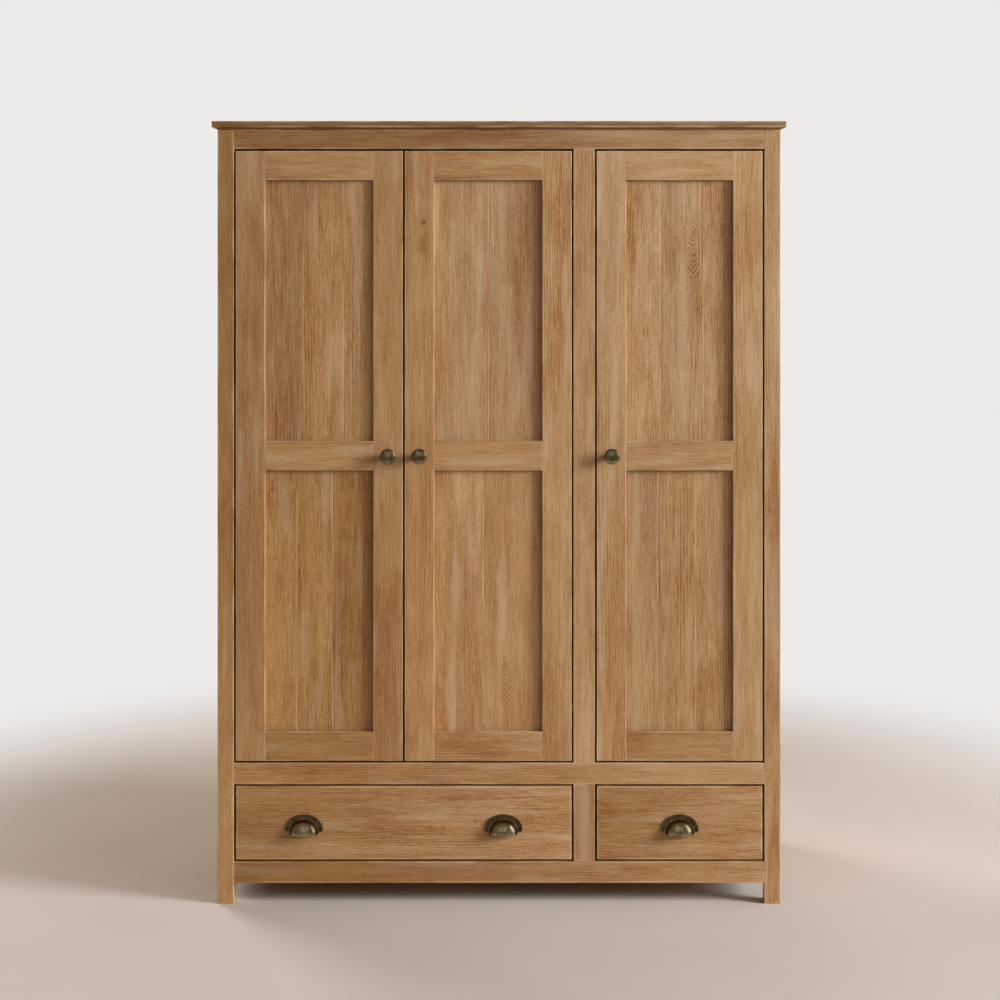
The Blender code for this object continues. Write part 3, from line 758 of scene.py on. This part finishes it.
def make_door(word, reach, oak, panel_oak, boards, figure):
    """Stiles and rails round two panels; reach points from the hinge to the free edge.

    Each panel has as many boards as boards says, and figure holds the stiles' knots and the
    panels' knots and marks.
    """
    door = f"door_{word}"
    low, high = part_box(door + "_frame")
    low, high = low + DOOR_EASE, high - DOOR_EASE
    panels = {place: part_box(f"{door}_panel_{place}") for place in ("lower", "upper")}
    lower, upper = panels["lower"], panels["upper"]
    grooves = [grown(f"{door}_panel_{place}", FIT) for place in panels]
    sight = (upper[0].x + TONGUE, upper[1].x - TONGUE)
    levels = {"bottom": (low.z, lower[0].z + TONGUE),
              "lock": (lower[1].z - TONGUE, upper[0].z + TONGUE),
              "top": (upper[1].z - TONGUE, high.z)}
    make_stiles(word, reach, oak, (low, high), sight, grooves, figure.get("stile_knots", ()))
    make_rails(door, oak, (low, high), sight, levels, grooves)
    for place in panels:
        make_panel(f"{door}_panel_{place}", panel_oak, boards, figure.get(place, {}))


# ---- drawers

def make_drawer(name, oak, front_oak, plywood, **figure):
    """A drawer whose front and sides are grooved for its bottom."""
    box_low, box_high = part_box(f"{name}_bottom")
    groove = (box_low - Vector((FIT, FIT, FIT)), box_high + Vector((FIT, GROOVE_RUN, FIT)))
    for part, along in (("front", "X"), ("side_left", "Y"), ("side_right", "Y")):
        node = f"{name}_{part}"
        low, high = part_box(node)
        front = part == "front"
        if front:
            low, high = low + FRONT_EASE, high - FRONT_EASE
        bm = rounded_block(low, high)
        obj = as_mesh(node + "_finish", bm, front_oak if front else oak)
        cut(obj, [block(*groove)])
        lay_grain(obj, along, "Z", **(figure if front else {}))
        settle(obj, "oak_finish", node)
    make_board(f"{name}_back", oak, "oak_finish", "X", "Z")
    make_board(f"{name}_bottom", plywood, "plywood", "X", "Y", radius=JOINED, flat_sawn=(0,))


# ---- hardware

def lathe(name, profile, place, turn, steps, material):
    """Spin (radius, height, edge) points round Z; an end at radius 0 closes to a point."""
    bm = bmesh.new()
    mark = bm.verts.layers.float.new("edge")
    rings = []
    for radius, height, edge in profile:
        count = steps if radius else 1
        ring = []
        for step in range(count):
            angle = math.tau * step / steps
            vert = bm.verts.new((radius * math.cos(angle), radius * math.sin(angle), height))
            vert[mark] = edge
            ring.append(vert)
        rings.append(ring)
    for lower, upper in zip(rings, rings[1:]):
        for step in range(steps):
            after = (step + 1) % steps
            around = [lower[step % len(lower)], lower[after % len(lower)],
                      upper[after % len(upper)], upper[step % len(upper)]]
            bm.faces.new(dict.fromkeys(around))
    bmesh.ops.transform(bm, matrix=Matrix.Translation(place) @ turn, verts=bm.verts)
    return as_mesh(name, bm, material)


def knob_profile(reach, radius):
    """Foot, neck, flare, rolled rim and shallow dome of a knob."""
    rim = RIM_SHARE * reach
    points = [(0.0, 0.0, 0.0), (0.0082, 0.0, 0.0), (0.0087, 0.0006, 0.6), (0.0085, 0.0020, 0.4)]
    for step in range(9):
        share = step / 8
        neck = 0.0061 + 0.0024 * (1 - math.sin(math.pi * min(1.0, share * 1.1) / 1.1)) ** 2
        flare = 0.0089 * max(0.0, share - 0.45) ** 2 / 0.3025
        points.append((neck + flare, 0.0035 + share * (rim - 0.0065), 0.0))
    start = points[-1]
    for step in range(1, 7):
        angle = math.pi / 2 * step / 6
        points.append((start[0] + (radius - start[0]) * math.sin(angle),
                       start[1] + (rim - start[1]) * (1 - math.cos(angle)), 0.0))
    for step in range(1, 13):
        angle = math.pi / 2 * step / 12
        width = radius * math.cos(angle) if step < 12 else 0.0
        points.append((width, rim + (reach - rim) * math.sin(angle), 0.48))
    return points


def make_knob(word, brass):
    """A door's knob, turned about the axis of its CAD node."""
    node = f"door_{word}_knob"
    low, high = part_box(node)
    reach = high.y - low.y
    radius = (high.x - low.x) / 2
    place = ((low.x + high.x) / 2, high.y, (low.z + high.z) / 2)
    profile = knob_profile(reach, radius)
    knob = lathe(node + "_finish", profile, place, FORWARD, KNOB_STEPS, brass)
    settle(knob, "antique_brass", node)


def screw_profile(radius, height):
    """A pan head: a short wall and a domed top marked -1, which the brass paints nearly black."""
    points = [(0.0, 0.0, 0.0), (radius, 0.0, 0.0), (radius, 0.35 * height, 0.2)]
    for step in range(1, 6):
        angle = math.pi / 2 * step / 5
        width = radius * math.cos(angle) if step < 5 else 0.0
        points.append((width, 0.35 * height + 0.65 * height * math.sin(angle), -1.0))
    return points


def cross_slot(place, turn, radius, height):
    """Two bars that cut a cross recess into a screw head."""
    bars = []
    for size in ((1.3 * radius, 0.24 * radius), (0.24 * radius, 1.3 * radius)):
        half = Vector((size[0] / 2, size[1] / 2, 0.55 * height))
        bm = block(-half, half)
        lift = Matrix.Translation((0, 0, height))
        bmesh.ops.transform(bm, matrix=Matrix.Translation(place) @ turn @ lift, verts=bm.verts)
        bars.append(bm)
    return bars


def join(name, pieces):
    """Make one new piece of the pieces' meshes."""
    bm = bmesh.new()
    for piece in pieces:
        bm.from_mesh(piece.data)
    material = pieces[0].data.materials[0]
    for piece in pieces:
        bpy.data.objects.remove(piece)
    return as_mesh(name, bm, material)


def make_screws(name, places, turn, head, material, slot, body):
    """Screw heads at the places, as one piece; head is their radius and height."""
    heads = []
    for index, place in enumerate(places):
        screw = lathe(f"{name}_{index}", screw_profile(*head), place, turn, SMALL_STEPS, material)
        cut(screw, cross_slot(place, turn, *head))
        heads.append(screw)
    settle(join(name, heads), slot, body=body)


def half_moon(half, height, steps):
    """Outline of a pull's flange, (x, z) from the middle of its lower edge."""
    points = []
    for side, start in ((-1, math.pi), (1, 1.5 * math.pi)):
        for step in range(steps + 1):
            angle = start + math.pi / 2 * step / steps
            points.append((side * (half - PULL_LOBE) + PULL_LOBE * math.cos(angle),
                           PULL_LOBE + PULL_LOBE * math.sin(angle)))
    arch = 8 * steps
    for step in range(1, arch):
        angle = step * math.pi / arch
        points.append((half * math.cos(angle),
                       PULL_LOBE + (height - PULL_LOBE) * math.sin(angle)))
    return points


def pull_flange(name, centre, half, height, brass):
    """A flat half moon with its front edge rounded and a hole for each screw."""
    bm = bmesh.new()
    outline = half_moon(half, height, 8)
    face = bm.faces.new([bm.verts.new((centre.x + x, centre.y, centre.z + z)) for x, z in outline])
    made = bmesh.ops.extrude_face_region(bm, geom=[face], use_keep_orig=True)
    moved = [item for item in made["geom"] if isinstance(item, bmesh.types.BMVert)]
    bmesh.ops.translate(bm, vec=(0, -PULL_FLANGE, 0), verts=moved)
    rim = [edge for edge in bm.edges if all(vert in moved for vert in edge.verts)]
    soften(bm, rim, PULL_RIM)
    obj = as_mesh(name, bm, brass)
    holes = []
    for side in (-1, 1):
        hole = bmesh.new()
        place = Matrix.Translation(centre + Vector((side * PULL_SCREW[0], 0, PULL_SCREW[1])))
        bmesh.ops.create_cone(hole, cap_ends=True, segments=32, radius1=PULL_HOLE,
                              radius2=PULL_HOLE, depth=10 * PULL_FLANGE, matrix=place @ FORWARD)
        holes.append(hole)
    cut(obj, holes)
    return obj


def cup_point(cup, around, up, inward):
    """A point of the quarter ellipsoid: around from side to side, up from lip to flange."""
    width, reach, rise = (size - inward for size in cup)
    swing = math.sin(around)
    return Vector((width * math.cos(around), -reach * swing * math.cos(up),
                   rise * swing * math.sin(up)))


def cup_profile(rows, roll):
    """(up, inward, drop, edge) from the flange over the outer skin and lip to the inner skin."""
    profile = [(math.pi / 2 * row / rows, 0.0, 0.0, 0.75) for row in range(rows, 0, -1)]
    half = PULL_WALL / 2
    for step in range(roll + 1):
        angle = math.pi * step / roll
        profile.append((0.0, half * (1 - math.cos(angle)), -half * math.sin(angle), 0.8))
    inner = [(math.pi / 2 * row / rows, PULL_WALL, 0.0, 0.0) for row in range(1, rows + 1)]
    return profile + inner


def pull_cup(name, centre, brass):
    """The hollow cup, rubbed where it stands out and painted red-brown close to the flange, a
    painted reflection of the wood.
    """
    cup = (PULL_CUP[0], PULL_CUP[1] - PULL_FLANGE, PULL_CUP[2])
    root = centre - Vector((0, PULL_FLANGE, PULL_LIP))
    columns = 56
    bm = bmesh.new()
    mark = bm.verts.layers.float.new("edge")
    grid = []
    for up, inward, drop, edge in cup_profile(18, 6):
        line = []
        for column in range(columns + 1):
            around = math.pi * (0.012 + 0.976 * column / columns)
            point = root + cup_point(cup, around, up, inward)
            vert = bm.verts.new(point + Vector((0, 0, drop)))
            out = (root.y - vert.co.y) / cup[1]
            # Negative near the flange, where the brass paints a reflection of the wood.
            vert[mark] = edge * min(1.0, max(-0.7, 7.0 * (out - 0.50)))
            line.append(vert)
        grid.append(line)
    grid.append(grid[0])
    for first, second in zip(grid, grid[1:]):
        for column in range(columns):
            bm.faces.new((first[column], first[column + 1], second[column + 1], second[column]))
    for column in (0, columns):
        bm.faces.new([line[column] for line in grid[:-1]])
    return as_mesh(name, bm, brass)


def pull_ridge(name, centre, brass):
    """The raised bead that runs round the cup on the flange."""
    bm = bmesh.new()
    mark = bm.verts.layers.float.new("edge")
    steps, sides = 56, 8
    rings = []
    for step in range(steps + 1):
        angle = math.pi * step / steps
        out = Vector((math.cos(angle), 0, math.sin(angle)))
        middle = centre + Vector((PULL_CUP[0] * out.x, -PULL_FLANGE,
                                  PULL_CUP[2] * out.z - PULL_LIP))
        middle.z = max(middle.z, centre.z + 0.6 * PULL_RIDGE)
        ring = []
        for side in range(sides):
            turn = math.tau * side / sides
            offset = out * math.cos(turn) + Vector((0, -math.sin(turn), 0))
            vert = bm.verts.new(middle + offset * PULL_RIDGE)
            vert[mark] = 0.8
            ring.append(vert)
        rings.append(ring)
    for first, second in zip(rings, rings[1:]):
        for side in range(sides):
            after = (side + 1) % sides
            bm.faces.new((first[side], first[after], second[after], second[side]))
    bm.faces.new(rings[0])
    bm.faces.new(rings[-1])
    return as_mesh(name, bm, brass)


def make_pull(node, body, brass):
    """A cup pull: flange, cup and bead in one piece, and its two screws."""
    low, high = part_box(node)
    centre = Vector(((low.x + high.x) / 2, high.y, low.z + PULL_LIP))
    half = (high.x - low.x) / 2
    parts = [pull_flange(node + "_flange", centre, half, high.z - centre.z, brass),
             pull_cup(node + "_cup", centre, brass), pull_ridge(node + "_ridge", centre, brass)]
    settle(join(node + "_finish", parts), "antique_brass", node)
    out, up = PULL_SCREW
    places = [centre + Vector((side * out, -0.0004, up)) for side in (-1, 1)]
    name = node + "_screws"
    make_screws(name, places, FORWARD, PULL_HEAD, brass, "antique_brass", body)


def make_hinge_screws(word, steel):
    """Screws in the ears of each cup and in each mounting plate."""
    inset, sunk, apart = PLATE_SCREW
    for place in ("lower", "upper"):
        hinge = f"hinge_{word}_{place}"
        cup_low, cup_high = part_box(hinge + "_cup")
        arm_low, arm_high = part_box(hinge + "_arm")
        middle = (cup_low.z + cup_high.z) / 2
        if arm_low.x < cup_low.x:
            cup_x, plate_x = cup_high.x - CUP_RADIUS, arm_low.x + inset
        else:
            cup_x, plate_x = cup_low.x + CUP_RADIUS, arm_high.x - inset
        ears = [(cup_x, cup_high.y, middle + side * EAR) for side in (-1, 1)]
        make_screws(hinge + "_cup_screws", ears, BACKWARD, CUP_HEAD, steel, "nickel_steel",
                    f"door_{word}")
        screws = [(plate_x, arm_high.y - sunk, middle + side * apart) for side in (-1, 1)]
        make_screws(hinge + "_arm_screws", screws, BACKWARD, PLATE_HEAD, steel, "nickel_steel",
                    "carcass")


def pin_profile(length, radius):
    """A shelf pin: collar against the wall, then a stub with a rounded end."""
    points = [(0.0, 0.0, 0.0), (1.7 * radius, 0.0, 0.3), (1.7 * radius, 0.0008, 0.6),
              (1.5 * radius, 0.0012, 0.5), (radius, 0.0012, 0.0)]
    for step in range(7):
        angle = math.pi / 2 * step / 6
        width = radius * (0.7 + 0.3 * math.cos(angle)) if step < 6 else 0.0
        points.append((width, length - 0.3 * radius * (1 - math.sin(angle)), 0.4))
    return points


def make_shelf_pins(node, steel):
    """Four pins under a shelf, two in the partition and two in the side."""
    low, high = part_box(node)
    profile = pin_profile(PIN_LENGTH, PIN_RADIUS)
    pins = []
    for y in (low.y + PIN_INSET, high.y - PIN_INSET):
        for x, sideways in ((low.x, 1), (high.x, -1)):
            turn = Matrix.Rotation(math.radians(90 * sideways), 4, "Y")
            place = (x, y, low.z - PIN_RADIUS)
            name = f"{node}_pin_{len(pins)}"
            pins.append(lathe(name, profile, place, turn, SMALL_STEPS, steel))
    settle(join(node + "_pins", pins), "nickel_steel", body="carcass")


def make_knob_screw(word, steel):
    """The head on the door's back of the screw that holds its knob."""
    low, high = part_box(f"door_{word}_knob")
    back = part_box(f"door_{word}_frame")[1].y
    place = ((low.x + high.x) / 2, back, (low.z + high.z) / 2)
    make_screws(f"door_{word}_knob_screw", [place], BACKWARD, KNOB_HEAD, steel, "nickel_steel",
                f"door_{word}")


def make_hardware(brass, steel):
    """Pins, knobs, screws and pulls, and steel for the CAD hinges and rod."""
    for node in ("shelf_lower", "shelf_upper"):
        make_shelf_pins(node, steel)
    for word in ("left", "middle", "right"):
        make_knob(word, brass)
        make_hinge_screws(word, steel)
        make_knob_screw(word, steel)
    for node, obj in frame["nodes"].items():
        if "_pull" in node:
            make_pull(node, obj["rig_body"], brass)
        if node.startswith("hinge_") or node == "hanging_rod":
            obj.data.materials.clear()
            obj.data.materials.append(steel)


# ---- the stage

def add_light(name, place, aim, size, power, colour, hidden_from=""):
    """An area light that may be hidden from glossy or from diffuse rays."""
    light = bpy.data.lights.new(name, "AREA")
    light.shape = "RECTANGLE"
    light.size, light.size_y = size
    light.energy = power
    light.color = colour
    obj = bpy.data.objects.new(name, light)
    obj.visible_camera = False
    obj.visible_glossy = hidden_from != "glossy"
    obj.visible_diffuse = hidden_from != "diffuse"
    bpy.context.scene.collection.objects.link(obj)
    obj.location = place
    obj.rotation_euler = (Vector(aim) - Vector(place)).to_track_quat("-Z", "Y").to_euler()


def add_lights():
    """A tall window on the right and a fill; the card and the room only make reflections."""
    add_light("window", (7.2, -2.6, 3.0), (0.0, -0.25, 1.0), (2.4, 2.8), 1240.0,
              (0.80, 0.87, 0.97), hidden_from="glossy")
    add_light("fill", (4.4, -4.4, 2.6), (0.2, -0.25, 1.1), (2.6, 2.6), 98.0,
              (1.0, 0.96, 0.91), hidden_from="glossy")
    add_light("card", (7.4, -2.7, 3.1), (0.0, -0.25, 1.0), (4.5, 5.5), 170.0,
              (1.0, 0.99, 0.97), hidden_from="diffuse")
    add_light("rear", (-4.5, 4.5, 3.2), (0.0, 0.2, 0.9), (3.0, 3.0), 300.0, (1.0, 0.98, 0.95))
    add_light("room", (0.0, -7.0, 3.0), (0.0, 0.0, 1.2), (6.0, 4.0), 26.0,
              (1.0, 0.98, 0.95), hidden_from="diffuse")


def make_floor():
    bm = bmesh.new()
    bmesh.ops.create_grid(bm, x_segments=12, y_segments=12, size=FLOOR_SIZE)
    floor = as_mesh("floor", bm, make_floor_material())


def make_world():
    """A pale backdrop to look at, and a weaker, warmer glow from all round as light."""
    world = bpy.data.worlds.new("studio")
    world.use_nodes = True
    bpy.context.scene.world = world
    tree = world.node_tree
    glow = tree.nodes["Background"]
    glow.inputs["Color"].default_value = (1.0, 0.80, 0.62, 1.0)
    glow.inputs["Strength"].default_value = 0.26
    backdrop = tree.nodes.new("ShaderNodeBackground")
    backdrop.inputs["Color"].default_value = (0.84, 0.83, 0.82, 1.0)
    seen = tree.nodes.new("ShaderNodeLightPath")
    mix = tree.nodes.new("ShaderNodeMixShader")
    tree.links.new(seen.outputs["Is Camera Ray"], mix.inputs[0])
    tree.links.new(glow.outputs[0], mix.inputs[1])
    tree.links.new(backdrop.outputs[0], mix.inputs[2])
    tree.links.new(mix.outputs[0], tree.nodes["World Output"].inputs["Surface"])


def make_camera():
    """A level camera straight in front, shifted down to take in the legs."""
    data = bpy.data.cameras.new("camera")
    data.sensor_width = 36.0
    data.lens = 70.0
    data.shift_y = -0.255
    camera = bpy.data.objects.new("camera", data)
    camera.location = (0.0022, -4.791, 1.540)
    camera.rotation_euler = (math.radians(90), 0, 0)
    bpy.context.scene.collection.objects.link(camera)
    bpy.context.scene.camera = camera


def make_wardrobe():
    oak = make_wood("oak_finish", OAK, 0.0046, 0.30, 0.8, 0.42)
    figured_oak = make_wood("figured_oak_finish", OAK, 0.0060, 0.40, 1.15, 0.42)
    plywood = make_wood("plywood", PLYWOOD, 0.0075, 0.30, 0.8, 0.55)
    brass = make_brass()
    steel = make_steel()
    make_top(oak)
    make_carcass(oak, plywood)
    for node in ("runner_left", "runner_centre", "runner_right"):
        make_runner(node, oak)
    make_door("left", 1, oak, figured_oak, 3,
              {"lower": {"knots": [((-0.531, 0, 0.988), 0.002, 0.9)]}})
    make_door("middle", -1, oak, oak, 2,
              {"stile_knots": [((-0.178, 0, 1.594), 0.006, 0.6)],
               "lower": {"knots": [((0.014, 0, 0.558), 0.007, 0.25)]}})
    make_door("right", -1, oak, figured_oak, 3,
              {"upper": {"knots": [((0.4556, 0, 1.570), 0.008, 0.25)],
                         "marks": [((0.465, 0, 1.390), 0.0022)]}})
    make_drawer("drawer_wide", oak, figured_oak, plywood,
                knots=[((-0.131, 0, 0.177), 0.003, 0.6)],
                marks=[((-0.056, 0, 0.191), 0.0018)])
    make_drawer("drawer_narrow", oak, figured_oak, plywood)
    make_hardware(brass, steel)


def main():
    make_wardrobe()
    make_floor()
    make_world()
    add_lights()
    make_camera()
    bpy.context.scene.view_settings.view_transform = "Standard"


main()
